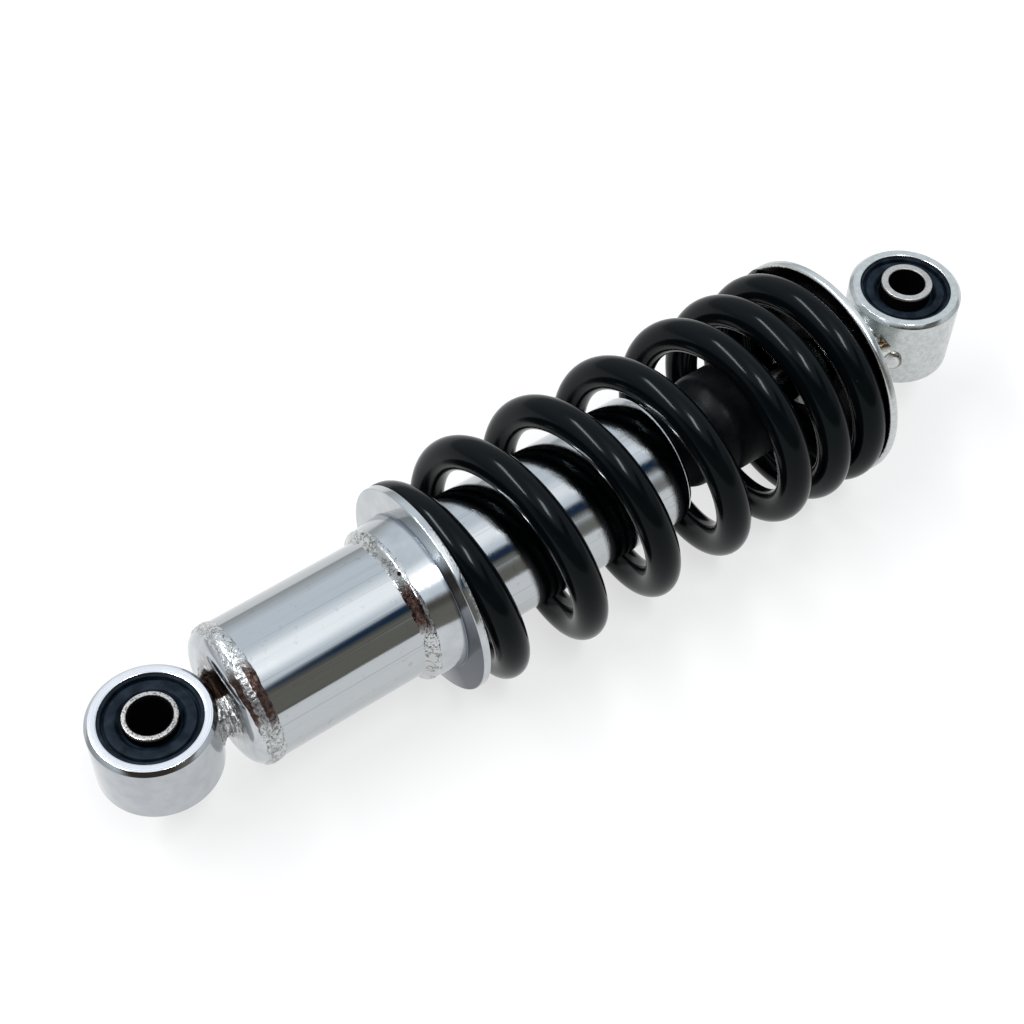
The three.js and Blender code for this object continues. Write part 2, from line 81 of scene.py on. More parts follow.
TUBE_START, TUBE_END, TUBE_R = span_x("damper_tube")
CAP_START, CAP_END, _ = span_x("end_cap")
SEAT_START, SEAT_FACE, FLANGE_R = span_x("lower_spring_seat")
DISC_FACE, DISC_BACK, DISC_R = span_x("upper_spring_seat")
NUT_START, NUT_END, _ = span_x("lock_nut")
BUMP_START, BUMP_END, BUMP_R = span_x("bump_stop")
ROD_START, ROD_END, ROD_R = span_x("piston_rod")
STUB_START, _, STUB_R = span_x("upper_stub")
DISC_LOW, DISC_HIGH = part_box("upper_spring_seat")
DISC_Y, DISC_Z = (DISC_HIGH.y + DISC_LOW.y) / 2, (DISC_HIGH.z + DISC_LOW.z) / 2
SPRING_LOW, SPRING_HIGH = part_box("coil_spring")
SPRING_R = (SPRING_HIGH.y - SPRING_LOW.y) / 2
SPRING_Y = (SPRING_HIGH.y + SPRING_LOW.y) / 2
SPRING_Z = (SPRING_HIGH.z + SPRING_LOW.z) / 2
LOWER_X, _, EYE_R = round_z("lower_eye")
UPPER_X, _, _ = round_z("upper_eye")
FLOOR_Z = SPRING_LOW.z
FLANGE_BACK = SEAT_FACE - 2.3 * MM
BUTTON_Y, BUTTON_Z, BUTTON_R = 10.2 * MM, -1.7 * MM, 3.5 * MM
BUTTON_X = UPPER_X - math.sqrt(EYE_R ** 2 - BUTTON_Y ** 2)


# ---- Mesh helpers ----

def add_object(name, data):
    made = bpy.data.objects.new(name, data)
    bpy.context.scene.collection.objects.link(made)
    return made


def finish_mesh(name, vertices, faces, material, sharp=40):
    """A smooth-shaded object, with edges sharper than the given angle kept crisp."""
    mesh = bpy.data.meshes.new(name)
    mesh.from_pydata([tuple(v) for v in vertices], [], [tuple(f) for f in faces])
    mesh.validate()
    mesh.materials.append(material)
    mesh.shade_smooth()
    mesh.set_sharp_from_angle(angle=math.radians(sharp))
    return add_object(name, mesh)


def place(piece, body, node):
    """Lets a piece ride a body in the place of a CAD node."""
    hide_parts(node)
    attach(piece, body)
    return piece


def soften(corners, steps=5):
    """A closed outline from (radius, along, rounding) corners, each rounded by an arc."""
    points = []
    count = len(corners)
    for i, (radius, along, rounding) in enumerate(corners):
        here = Vector((radius, along))
        if rounding <= 0:
            points.append(tuple(here))
            continue
        back = (Vector(corners[i - 1][:2]) - here).normalized()
        ahead = (Vector(corners[(i + 1) % count][:2]) - here).normalized()
        half = back.angle(ahead) / 2
        reach = rounding / math.tan(half)
        centre = here + (back + ahead).normalized() * (rounding / math.sin(half))
        first = here + back * reach - centre
        last = here + ahead * reach - centre
        turn = first.angle_signed(last)
        for step in range(steps + 1):
            points.append(tuple(centre + Matrix.Rotation(-turn * step / steps, 2) @ first))
    return points


def both_ends(half_outline):
    """An outline that is the same above and below the middle, from its half above it."""
    mirrored = [(radius, -along, rounding) for radius, along, rounding in reversed(half_outline)]
    return half_outline + mirrored


def lathe(name, outline, material, along="X", centre=0.0, sides=192, sharp=40):
    """A closed outline of (radius, along) points turned about X, or about Z at x = centre."""
    profile = np.array(outline, float)
    angles = np.arange(sides) * 2 * math.pi / sides
    radius = profile[:, 0][None, :]
    place_along = np.broadcast_to(profile[:, 1][None, :], (sides, len(profile)))
    across = radius * np.cos(angles)[:, None]
    over = radius * np.sin(angles)[:, None]
    if along == "X":
        grid = np.stack([place_along, across, over], axis=-1)
    else:
        grid = np.stack([across + centre, over, place_along], axis=-1)
    flip = along == "Z"
    return finish_mesh(name, *closed_grid(grid, flip), material, sharp)


def closed_grid(grid, flip=False):
    """Vertices and faces of a grid that wraps round both ways."""
    rows, columns = grid.shape[:2]
    vertices = grid.reshape(-1, 3)
    faces = []
    for i in range(rows):
        next_i = (i + 1) % rows
        for j in range(columns):
            next_j = (j + 1) % columns
            here, ahead = i * columns, next_i * columns
            face = [here + j, ahead + j, ahead + next_j, here + next_j]
            faces.append(face[::-1] if flip else face)
    return vertices, faces


def capped_grid(grid, flip=False):
    """Vertices and faces of a grid of closed rings, with a fan at each end."""
    rows, columns = grid.shape[:2]
    vertices = np.concatenate([grid.reshape(-1, 3), grid[0].mean(0)[None], grid[-1].mean(0)[None]])
    last = (rows - 1) * columns
    faces = []
    for here in range(0, last, columns):
        ahead = here + columns
        for j in range(columns):
            next_j = (j + 1) % columns
            faces.append([here + j, here + next_j, ahead + next_j, ahead + j])
    for j in range(columns):
        next_j = (j + 1) % columns
        faces.append([rows * columns, next_j, j])
        faces.append([rows * columns + 1, last + j, last + next_j])
    if flip:
        faces = [face[::-1] for face in faces]
    return vertices, faces


def roughness_at(point, size, octaves=4):
    """Smooth noise between about -1 and 1, with features of the given size."""
    return noise.fractal(Vector(point) / size, 1.0, 2.0, octaves)


# ---- Material helpers ----

def add_node(tree, kind, inputs=None, **settings):
    """A shader node with its settings; each input gets a value or is linked to a socket."""
    made = tree.nodes.new("ShaderNode" + kind)
    for key, value in settings.items():
        setattr(made, key, value)
    for key, value in (inputs or {}).items():
        if isinstance(value, bpy.types.NodeSocket):
            tree.links.new(value, made.inputs[key])
        else:
            made.inputs[key].default_value = value
    return made


def add_mix(tree, share, first, second):
    """A colour between two, each one given as a value or a socket."""
    first, second = [c if isinstance(c, bpy.types.NodeSocket) else (*c, 1) for c in (first, second)]
    return add_node(tree, "Mix", {0: share, 6: first, 7: second}, data_type="RGBA").outputs[2]


class Look:
    """A node material built round one Principled shader, with textures in the object's own space.

    Places are in metres. The sizes of textures and the heights of bumps are in millimetres.
    """

    def __init__(self, name, **values):
        self.material = bpy.data.materials.new(name)
        self.material.use_nodes = True
        self.tree = self.material.node_tree
        self.shader = self.tree.nodes["Principled BSDF"]
        self.coords = add_node(self.tree, "TexCoord").outputs["Object"]
        for socket, value in values.items():
            self.shader.inputs[socket.replace("_", " ")].default_value = value

    def node(self, kind, inputs=None, **settings):
        return add_node(self.tree, kind, inputs, **settings)

    def noise(self, size, detail=3.0, rough=0.5, stretch=(1, 1, 1)):
        """Noise with features of about this size, stretched along the axes."""
        scale = [1 / (size * MM * s) for s in stretch]
        scaled = self.node("Mapping", {"Vector": self.coords, "Scale": scale})
        made = self.node("TexNoise", {
            "Vector": scaled.outputs[0], "Scale": 1.0, "Detail": detail, "Roughness": rough})
        return made.outputs["Fac"]

    def dots(self, spacing, width, patch, detail, low, high):
        """Dots at random places, only inside patches of noise; their width is a share of the spacing."""
        cells = self.node("TexVoronoi", {"Vector": self.coords, "Scale": 1 / (spacing * MM)})
        dot = self.ramp(cells.outputs["Distance"], width, 0.0)
        return self.times(dot, self.ramp(self.noise(patch, detail), low, high))

    def ramp(self, value, low, high, start=0.0, end=1.0):
        """Maps a value from low..high to start..end, clamped; low may be the higher one."""
        made = self.node("MapRange", {
            "Value": value, "From Min": low, "From Max": high, "To Min": start, "To Max": end})
        return made.outputs["Result"]

    def inverse(self, value):
        return self.ramp(value, 1.0, 0.0)

    def math(self, operation, first, second=0.0):
        return self.node("Math", {0: first, 1: second}, operation=operation).outputs[0]

    def times(self, first, second):
        return self.math("MULTIPLY", first, second)

    def off(self, value, middle):
        """How far a value is from a middle one."""
        return self.math("ABSOLUTE", self.math("SUBTRACT", value, middle))

    def crease(self, value, width):
        """1 on the thin lines where noise passes through its middle."""
        return self.ramp(self.off(value, 0.5), width, 0.0)

    def mix(self, factor, first, second):
        return add_mix(self.tree, factor, first, second)

    def vary(self, value, low, high, first, second):
        """From one colour to another as a value goes from low to high."""
        return self.mix(self.ramp(value, low, high), first, second)

    def vector(self, operation, first, second=(0, 0, 0), output="Vector"):
        return self.node("VectorMath", {0: first, 1: second}, operation=operation).outputs[output]

    def radius(self, centre_x):
        """Distance from the upright axis through an eye."""
        moved = self.vector("SUBTRACT", self.coords, (centre_x, 0, 0))
        flat = self.vector("MULTIPLY", moved, (1, 1, 0))
        return self.vector("LENGTH", flat, output="Value")

    def facing(self, degrees, inner, outer):
        """1 on the side of the tube that faces an angle counted from +Y to +Z, within inner degrees."""
        side = (0, math.cos(math.radians(degrees)), math.sin(math.radians(degrees)))
        unit = self.vector("NORMALIZE", self.vector("MULTIPLY", self.coords, (0, 1, 1)))
        along = self.vector("DOT_PRODUCT", unit, side, "Value")
        return self.ramp(along, math.cos(math.radians(outer)), math.cos(math.radians(inner)))

    def near(self, point, inner, outer):
        """1 within the inner distance of a point and 0 beyond the outer one."""
        away = self.vector("DISTANCE", self.coords, point, "Value")
        return self.ramp(away, outer, inner)

    def axis(self, letter):
        return self.node("SeparateXYZ", {0: self.coords}).outputs[letter]

    def normal(self, letter):
        """How far the surface faces along one axis, -1 to 1."""
        facing = self.node("NewGeometry").outputs["Normal"]
        return self.node("SeparateXYZ", {0: facing}).outputs[letter]

    def bump(self, *layers):
        """Bump from (pattern, height) layers, one on top of another."""
        normal = None
        for pattern, height in layers:
            inputs = {"Height": pattern, "Distance": height * MM, "Strength": 1.0}
            if normal is not None:
                inputs["Normal"] = normal
            normal = self.node("Bump", inputs).outputs[0]
        self.drive("Normal", normal)

    def drive(self, socket, value):
        self.tree.links.new(value, self.shader.inputs[socket])

    def colour(self, value):
        self.drive("Base Color", value)

    def roughness(self, value, low, high):
        """Roughness from low to high, following noise."""
        self.drive("Roughness", self.ramp(value, 0.3, 0.7, low, high))


# ---- Materials ----

def mirror_chrome():
    """Bright plate on the tube: a mirror with haze, lengthwise polishing lines and dust marks.

    Over the part inside the coil it is speckled.
    """
    look = Look("mirror_chrome", Metallic=1.0)
    under_coil = look.ramp(look.axis("X"), SEAT_FACE, SEAT_FACE + 8 * MM)
    speckle = look.times(look.noise(0.3, 3), under_coil)
    lines = look.ramp(look.noise(0.5, 2, stretch=(220, 1, 1)), 0.58, 0.7)
    stains = look.ramp(look.noise(2.2, 5), 0.64, 0.74)
    base = look.mix(lines, (0.445, 0.468, 0.485), (0.365, 0.38, 0.385))
    look.colour(look.mix(stains, base, (0.37, 0.385, 0.39)))
    haze = look.ramp(look.noise(9, 4), 0.3, 0.7, 0.05, 0.09)
    look.drive("Roughness", look.math("SUBTRACT", haze, look.times(under_coil, 0.03)))
    look.bump((look.noise(7, 2, stretch=(6, 1, 1)), 0.03), (lines, 0.0015), (speckle, 0.015))
    return look.material


def satin_chrome():
    """Plate over the pressed seat: soft reflections, a cloudy haze, tiny pits and rust on its rim.

    The back of its flange has a painted dark blue-grey reflection low down at the front. Its collar has a
    foot darkened with painted shade where it meets the flange.
    """
    look = Look("satin_chrome", Metallic=1.0)
    mottle = look.noise(5, 4)
    pits = look.dots(1.6, 0.07, 5, 2, 0.52, 0.62)
    plate = look.vary(mottle, 0.35, 0.7, (0.49, 0.515, 0.535), (0.42, 0.44, 0.455))
    x = look.axis("X")
    on_back = look.ramp(look.normal("X"), -0.85, -0.97)
    # Painted dark reflection: the back of the flange is darkened low down at the front, where it would
    # mirror the shaded underside of the tube.
    painted_dark_reflection = look.mix(look.times(on_back, look.facing(192, 28, 62)), plate, (0.07, 0.08, 0.10))
    # Painted shade: a dark band at the foot of the collar, in the corner where it meets the flange.
    painted_foot_shade = look.times(look.ramp(x, FLANGE_BACK - 1.1 * MM, FLANGE_BACK - 0.2 * MM),
                             look.ramp(x, FLANGE_BACK + 0.1 * MM, FLANGE_BACK))
    with_painted_shade = look.mix(look.times(painted_foot_shade, look.inverse(on_back)), painted_dark_reflection, (0.20, 0.22, 0.26))
    on_rim = look.ramp(x, SEAT_FACE - 1.0 * MM, SEAT_FACE - 0.5 * MM)
    rust = look.times(look.ramp(look.noise(0.5, 4, 0.6), 0.50, 0.58),
                      look.times(on_rim, look.facing(128, 22, 38)))
    pitted = look.mix(pits, with_painted_shade, (0.10, 0.09, 0.085))
    look.colour(look.mix(rust, pitted, (0.07, 0.045, 0.03)))
    look.roughness(mottle, 0.09, 0.15)
    look.bump((look.noise(7, 3), 0.05), (look.noise(0.3, 3), 0.004), (pits, -0.05), (rust, -0.04))
    return look.material


def cap_chrome():
    """Plate on the end cap, sooty brown on its flat face where the eye is welded to it."""
    look = Look("cap_chrome", Metallic=1.0)
    mottle = look.noise(3, 4)
    on_face = look.ramp(look.axis("X"), CAP_START + 1.1 * MM, CAP_START + 0.25 * MM)
    burnt = look.times(on_face, look.near((CAP_START, -2 * MM, 5 * MM), 8 * MM, 13.5 * MM))
    patchy = look.times(burnt, look.ramp(look.noise(2, 4), 0.3, 0.5))
    base = look.vary(mottle, 0.35, 0.7, (0.53, 0.555, 0.575), (0.45, 0.47, 0.49))
    look.colour(look.mix(patchy, base, (0.05, 0.032, 0.02)))
    look.roughness(mottle, 0.09, 0.18)
    look.bump((look.noise(5, 3), 0.06), (look.noise(0.4, 3), 0.006))
    return look.material


def ring_chrome():
    """Plate on the lower eye's turned ring: fine tool lines round the bore on its flat faces."""
    look = Look("lower_ring_chrome", Metallic=1.0)
    rings = look.times(look.radius(LOWER_X), 1 / (0.3 * MM))
    lines = look.node("TexNoise", {"W": rings, "Scale": 1.0, "Detail": 2.0},
                      noise_dimensions="1D").outputs["Fac"]
    on_face = look.ramp(look.math("ABSOLUTE", look.normal("Z")), 0.85, 0.98)
    mottle = look.noise(4, 4)
    pits = look.dots(2.1, 0.07, 6, 2, 0.54, 0.6)
    face = look.vary(lines, 0.5, 0.68, (0.74, 0.745, 0.76), (0.42, 0.45, 0.56))
    wall = look.vary(mottle, 0.35, 0.7, (0.435, 0.455, 0.475), (0.38, 0.40, 0.42))
    look.colour(look.mix(pits, look.mix(on_face, wall, face), (0.10, 0.09, 0.085)))
    haze = look.ramp(mottle, 0.3, 0.7, 0.09, 0.13)
    look.drive("Roughness", look.math("ADD", haze, look.times(on_face, 0.12)))
    look.bump((look.noise(5, 2), 0.012), (look.noise(0.35, 3), 0.003),
              (look.times(lines, on_face), 0.03), (pits, -0.05))
    return look.material


def disc_zinc():
    """Zinc on the upper disc: bright and even on its rim, painted near black as shade on its spring side,
    inside the spring.
    """
    look = Look("disc_zinc", Metallic=1.0)
    mottle = look.noise(1.4, 5)
    base = look.vary(mottle, 0.35, 0.68, (0.55, 0.57, 0.57), (0.48, 0.50, 0.50))
    # Painted shade: the flat face inside the spring is painted near black.
    painted_shade_face = look.ramp(look.normal("X"), -0.97, -0.995)
    edge = look.ramp(look.normal("X"), -0.85, -0.95)
    tarnish = look.times(edge, look.ramp(look.noise(0.8, 4), 0.42, 0.55))
    base = look.mix(tarnish, base, (0.16, 0.15, 0.11))
    look.colour(look.mix(painted_shade_face, base, (0.003, 0.003, 0.004)))
    look.roughness(mottle, 0.2, 0.3)
    look.bump((look.noise(3, 3), 0.03), (look.noise(0.4, 4), 0.01))
    return look.material


def dull_zinc():
    """Silver zinc plate: grainy, duller than the chrome, with small dark specks and shiny chamfers."""
    look = Look("dull_zinc", Metallic=1.0)
    grain = look.noise(0.4, 4)
    mottle = look.noise(1.4, 5)
    specks = look.dots(1.5, 0.09, 4, 2, 0.5, 0.58)
    base = look.vary(mottle, 0.35, 0.68, (0.54, 0.56, 0.56), (0.44, 0.465, 0.46))
    look.colour(look.mix(specks, base, (0.12, 0.11, 0.10)))
    upright = look.math("ABSOLUTE", look.normal("Z"))
    on_chamfer = look.times(look.ramp(upright, 0.4, 0.6), look.ramp(upright, 0.95, 0.8))
    dulled = look.ramp(mottle, 0.3, 0.7, 0.2, 0.32)
    look.drive("Roughness", look.math("SUBTRACT", dulled, look.times(on_chamfer, 0.14)))
    grain = look.times(grain, look.ramp(on_chamfer, 0, 1, 1, 0.25))
    look.bump((look.noise(3, 3), 0.03), (grain, 0.016), (specks, -0.05))
    return look.material


def weld_metal(name, crinkle, crease_size, brown_side, brown_width, middle, gouge):
    """Plate over a weld: pale foil with thin creases darkened by painted shade, burnt brown along its
    edges, and black pits.

    The foil is darker between the brown edges, and there is one deeper black gouge.
    """
    look = Look(name, Metallic=1.0)
    creases = look.noise(crease_size, 5, 0.6)
    folds = look.crease(creases, 0.025)
    stretch = look.facing(brown_side, brown_width, brown_width + 12)
    beside = look.ramp(look.off(look.axis("X"), middle), 0.5 * MM, 1.7 * MM)
    patches = look.math("ADD", beside, look.times(look.noise(2, 4, 0.6), 1.3))
    brown = look.times(stretch, look.ramp(patches, 1.02, 1.14))
    pits = look.times(look.ramp(look.noise(0.5, 5, 0.6), 0.56, 0.62),
                      look.facing(brown_side + 8, brown_width + 4, brown_width + 30))
    pits = look.math("MAXIMUM", pits, look.near(gouge, 0.45 * MM, 0.75 * MM))
    # Painted shade: the creases of the foil are painted dark.
    foil = look.mix(folds, (0.50, 0.515, 0.52), (0.07, 0.065, 0.055))
    foil = look.mix(look.times(stretch, 0.6), foil, (0.20, 0.19, 0.20))
    burnt = look.vary(look.noise(1.1, 3), 0.4, 0.6, (0.035, 0.022, 0.018), (0.10, 0.062, 0.054))
    look.colour(look.mix(pits, look.mix(brown, foil, burnt), (0.02, 0.016, 0.013)))
    look.roughness(look.noise(1.5, 4), 0.12, 0.26)
    crumple = look.times(creases, look.ramp(stretch, 0, 1, 0.4, 1.0))
    look.bump((crumple, crinkle), (folds, -0.08 * crinkle), (pits, -0.3 * crinkle))
    return look.material


def neck_metal():
    """Plate over the neck weld: crumpled foil with painted shade in its creases, burnt black-brown over the
    middle of its top.
    """
    look = Look("neck_weld", Metallic=1.0)
    fine = look.noise(0.5, 4, 0.6)
    folds = look.noise(2.2, 4, 0.55)
    top = look.ramp(look.axis("Z"), 3.2 * MM, 5.2 * MM)
    across = look.times(look.ramp(look.axis("Y"), -5.5 * MM, -1.5 * MM),
                        look.ramp(look.axis("Y"), 8.5 * MM, 5.5 * MM))
    dark = look.ramp(look.math("ADD", look.times(top, across), look.times(folds, 1.2)), 1.0, 1.25)
    burnt = look.vary(look.noise(1.6, 4), 0.55, 0.68, (0.018, 0.011, 0.008), (0.085, 0.045, 0.028))
    # Painted shade: the creases of the foil are painted dark.
    foil = look.mix(look.crease(folds, 0.03), (0.50, 0.515, 0.52), (0.10, 0.085, 0.07))
    look.colour(look.mix(dark, foil, burnt))
    look.roughness(look.noise(1.5, 4), 0.10, 0.22)
    low = look.ramp(look.axis("Z"), -2 * MM, 3 * MM, 0.15, 1.0)
    look.bump((look.times(folds, low), 0.8), (look.times(fine, low), 0.12))
    return look.material


def zinc_bead():
    """Zinc over the small welds of the upper eye: pitted, with painted brown shade on their upper part.

    A dark outline runs round the button of weld metal on the ring.
    """
    look = Look("zinc_weld", Metallic=1.0)
    pits = look.dots(1.0, 0.2, 1.2, 3, 0.45, 0.5)
    # Painted shade: the welds are painted brown above a height, standing in for the shade on their upper
    # side.
    brown = look.ramp(look.axis("Z"), 2.2 * MM, 4.2 * MM)
    base = look.mix(brown, (0.60, 0.61, 0.60), (0.08, 0.055, 0.03))
    middle = (BUTTON_X, -BUTTON_Y, BUTTON_Z)
    outline = look.times(look.near(middle, BUTTON_R, BUTTON_R + 0.2 * MM),
                         look.inverse(look.near(middle, BUTTON_R - 0.7 * MM, BUTTON_R - 0.3 * MM)))
    base = look.mix(outline, base, (0.15, 0.14, 0.12))
    look.colour(look.mix(pits, base, (0.10, 0.095, 0.09)))
    look.roughness(look.noise(1.2, 4), 0.24, 0.36)
    look.bump((look.noise(0.9, 4), 0.06), (pits, -0.1))
    return look.material


def black_paint():
    """Gloss black powder coat with a faint orange peel, a little dust and blue in its sheen."""
    look = Look("black_paint", Specular_IOR_Level=0.09, Specular_Tint=(0.86, 0.97, 1.0, 1))
    dust = look.dots(2.6, 0.03, 9, 2, 0.57, 0.6)
    look.colour(look.mix(dust, (0.0012, 0.0019, 0.0024), (0.16, 0.17, 0.18)))
    look.roughness(look.noise(6, 3), 0.12, 0.17)
    look.bump((look.noise(2.4, 2), 0.010), (look.noise(14, 1), 0.05), (dust, 0.05))
    return look.material


def bush_rubber(name, base, worn, rough=(0.42, 0.6)):
    """Moulded blue-black rubber, dusty in patches."""
    look = Look(name, Specular_IOR_Level=0.06)
    patches = look.noise(3.2, 5)
    grain = look.noise(0.35, 3)
    look.colour(look.vary(patches, 0.4, 0.7, base, worn))
    look.roughness(grain, *rough)
    look.bump((look.noise(2.5, 3), 0.06), (grain, 0.02))
    return look.material


def sleeve_steel(name, centre_x, bright_from, half, speckled):
    """Bare steel sleeve: its cut ends are bright and marked, its bore and its side are painted black as
    shade.
    """
    look = Look(name, Specular_IOR_Level=0.0)
    radius = look.radius(centre_x)
    upright = look.math("ABSOLUTE", look.axis("Z"))
    on_end = look.ramp(upright, half - 0.75 * MM, half - 0.45 * MM)
    in_bore = look.ramp(radius, bright_from + 0.12 * MM, bright_from - 0.12 * MM)
    # Painted shade: the bore, and the side hidden in the bush, are painted near black and not metallic.
    shade_painted_black = look.math("MAXIMUM", in_bore, look.inverse(on_end))
    specks = look.times(look.ramp(look.noise(0.5, 5, 0.65), 0.5, 0.6), speckled)
    warm = look.noise(2.5, 3)
    base = look.vary(warm, 0.35, 0.65, (0.50, 0.49, 0.475), (0.40, 0.39, 0.38))
    marked = look.mix(specks, base, (0.10, 0.09, 0.085))
    look.drive("Metallic", look.inverse(shade_painted_black))
    look.colour(look.mix(shade_painted_black, marked, (0.0015, 0.0015, 0.002)))
    look.roughness(warm, 0.26, 0.42)
    look.bump((look.noise(0.6, 4), 0.03))
    return look.material


def plain_metal(name, base, rough, line=0.05):
    """Machined metal for the pieces inside the damper: turning marks and slight stains."""
    look = Look(name, Metallic=1.0)
    stains = look.noise(3, 4)
    turned = look.noise(0.12, 2, stretch=(1, 40, 40))
    look.colour(look.vary(stains, 0.4, 0.7, base, tuple(0.72 * c for c in base)))
    look.roughness(stains, rough - line, rough + line)
    look.bump((turned, 0.004))
    return look.material


def plain_plastic(name, base, rough):
    """Moulded nylon or seal rubber: fine grain and slight shade changes."""
    look = Look(name)
    shade = look.noise(2, 4)
    look.colour(look.vary(shade, 0.35, 0.7, base, tuple(1.6 * c for c in base)))
    look.roughness(look.noise(0.5, 3), rough - 0.08, rough + 0.08)
    look.bump((look.noise(0.4, 3), 0.012))
    return look.material


def around_tube(x, degrees, out=0.0):
    """A point on the tube's surface at a place along X, at an angle counted from +Y to +Z."""
    angle = math.radians(degrees)
    return x, (TUBE_R + out) * math.cos(angle), (TUBE_R + out) * math.sin(angle)


CHROME = mirror_chrome()
SATIN = satin_chrome()
CAP_CHROME = cap_chrome()
RING_CHROME = ring_chrome()
ZINC = dull_zinc()
DISC_ZINC = disc_zinc()
END_WELD = weld_metal("end_weld_metal", 0.40, 2.2, 130, 17, TUBE_START + 0.4 * MM,
                      around_tube(TUBE_START + 0.6 * MM, 70))
SEAT_WELD = weld_metal("seat_weld_metal", 0.12, 4.0, 131, 11, SEAT_START + 1.2 * MM,
                       around_tube(SEAT_START - 0.4 * MM, 105, 1.9 * MM))
NECK_WELD = neck_metal()
ZINC_WELD = zinc_bead()
PAINT = black_paint()
RUBBER = bush_rubber("bush_rubber", (0.002, 0.0042, 0.0075), (0.008, 0.0135, 0.021))
BUMP_RUBBER = bush_rubber("bump_rubber", (0.0012, 0.0016, 0.0022), (0.003, 0.004, 0.0055), (0.3, 0.5))
STEEL = plain_metal("machined_steel", (0.5, 0.49, 0.48), 0.34)
ROD_CHROME = plain_metal("rod_chrome", (0.42, 0.435, 0.45), 0.07, 0.02)
ALUMINIUM = plain_metal("guide_aluminium", (0.66, 0.67, 0.68), 0.38)
BRONZE = plain_metal("bush_bronze", (0.5, 0.36, 0.19), 0.36)
SEAL = plain_plastic("seal_rubber", (0.012, 0.012, 0.013), 0.45)
NYLON = plain_plastic("nylon", (0.06, 0.06, 0.065), 0.5)

HIDDEN_LOOKS = {
    "rod_guide": ALUMINIUM, "guide_bush": BRONZE, "rod_seal": SEAL, "piston_band": NYLON,
    "rebound_stop": NYLON, "pressure_cylinder": STEEL, "seal_washer": STEEL, "piston": STEEL,
    "rebound_shims": STEEL, "compression_shims": STEEL, "piston_nut": STEEL,
    "base_valve": STEEL, "base_valve_shims": STEEL, "base_valve_rivet": STEEL,
}
for node_name, look in HIDDEN_LOOKS.items():
    cad_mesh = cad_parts[node_name].data
    cad_mesh.materials.clear()
    cad_mesh.materials.append(look)


# ---- Eyes: ring, rubber bush and steel sleeve ----

EYE_CHAMFER = 1.05 * MM
EYE_BORE_R = 13 * MM
BOLT_BORE_R = 5.25 * MM


def eye_ring(name, node, material):
    centre, half, _ = round_z(node)
    outline = both_ends([
        (EYE_BORE_R, half, 0.35 * MM),
        (EYE_R - EYE_CHAMFER, half, 0.18 * MM),
        (EYE_R, half - EYE_CHAMFER, 0.25 * MM),
    ])
    return lathe(name, soften(outline), material, "Z", centre, sharp=180)


def eye_bush(name, ring, sleeve, recess):
    """A moulded bush: an outer lip, a groove, a raised ring and a hollow round the sleeve."""
    centre, half, _ = round_z(ring)
    sleeve_r = round_z(sleeve)[2]
    lip = half - recess
    raised = lip - 0.35 * MM
    groove = lip - 1.5 * MM
    outline = both_ends([
        (sleeve_r + 0.02 * MM, raised - 1.7 * MM, 0.0),
        (sleeve_r + 0.7 * MM, raised - 1.6 * MM, 0.3 * MM),
        (sleeve_r + 1.7 * MM, raised, 0.6 * MM),
        (EYE_BORE_R - 1.75 * MM, raised, 0.25 * MM),
        (EYE_BORE_R - 1.55 * MM, groove, 0.08 * MM),
        (EYE_BORE_R - 0.95 * MM, groove, 0.08 * MM),
        (EYE_BORE_R - 0.8 * MM, lip, 0.18 * MM),
        (EYE_BORE_R - 0.03 * MM, lip, 0.12 * MM),
    ])
    return lathe(name, soften(outline), RUBBER, "Z", centre, sharp=180)


def eye_sleeve(name, node, lip, bright_from, speckled):
    centre, half, radius = round_z(node)
    outline = both_ends([
        (BOLT_BORE_R, half - lip, 0.06 * MM),
        (BOLT_BORE_R + lip, half, 0.06 * MM),
        (radius, half, 0.22 * MM),
    ])
    steel = sleeve_steel(name + "_steel", centre, bright_from, half, speckled)
    return lathe(name, soften(outline), steel, "Z", centre, sharp=180)


place(eye_ring("lower_eye_ring", "lower_eye", RING_CHROME), "damper", "lower_eye")
place(eye_ring("upper_eye_ring", "upper_eye", ZINC), "rod", "upper_eye")
place(eye_bush("lower_bush_rubber", "lower_eye", "lower_sleeve", 0.3 * MM),
      "damper", "lower_bush")
place(eye_bush("upper_bush_rubber", "upper_eye", "upper_sleeve", 0.7 * MM),
      "rod", "upper_bush")
place(eye_sleeve("lower_sleeve_tube", "lower_sleeve", 0.5 * MM, 5.9 * MM, 1.0),
      "lower_sleeve", "lower_sleeve")
place(eye_sleeve("upper_sleeve_tube", "upper_sleeve", 0.25 * MM, 5.4 * MM, 0.35),
      "upper_sleeve", "upper_sleeve")


# ---- Lower end: cap, tube and spring seat ----

CAP_SHOULDER = 5 * MM


def end_cap():
    """A round-shouldered cap with a spigot that goes into the tube."""
    spigot_r = TUBE_R - 1.9 * MM
    hollow_r = spigot_r - 2.5 * MM
    joint = TUBE_START - 0.1 * MM
    hollow_x = CAP_START + 3 * MM
    return lathe("end_cap_shell", soften([
        (0.0, CAP_START, 0.0),
        (TUBE_R, CAP_START, CAP_SHOULDER),
        (TUBE_R, joint, 0.0),
        (spigot_r, joint, 0.0),
        (spigot_r, CAP_END, 0.0),
        (hollow_r, CAP_END, 0.0),
        (hollow_r, hollow_x, 0.0),
        (0.0, hollow_x, 0.0),
    ], steps=12), CAP_CHROME)


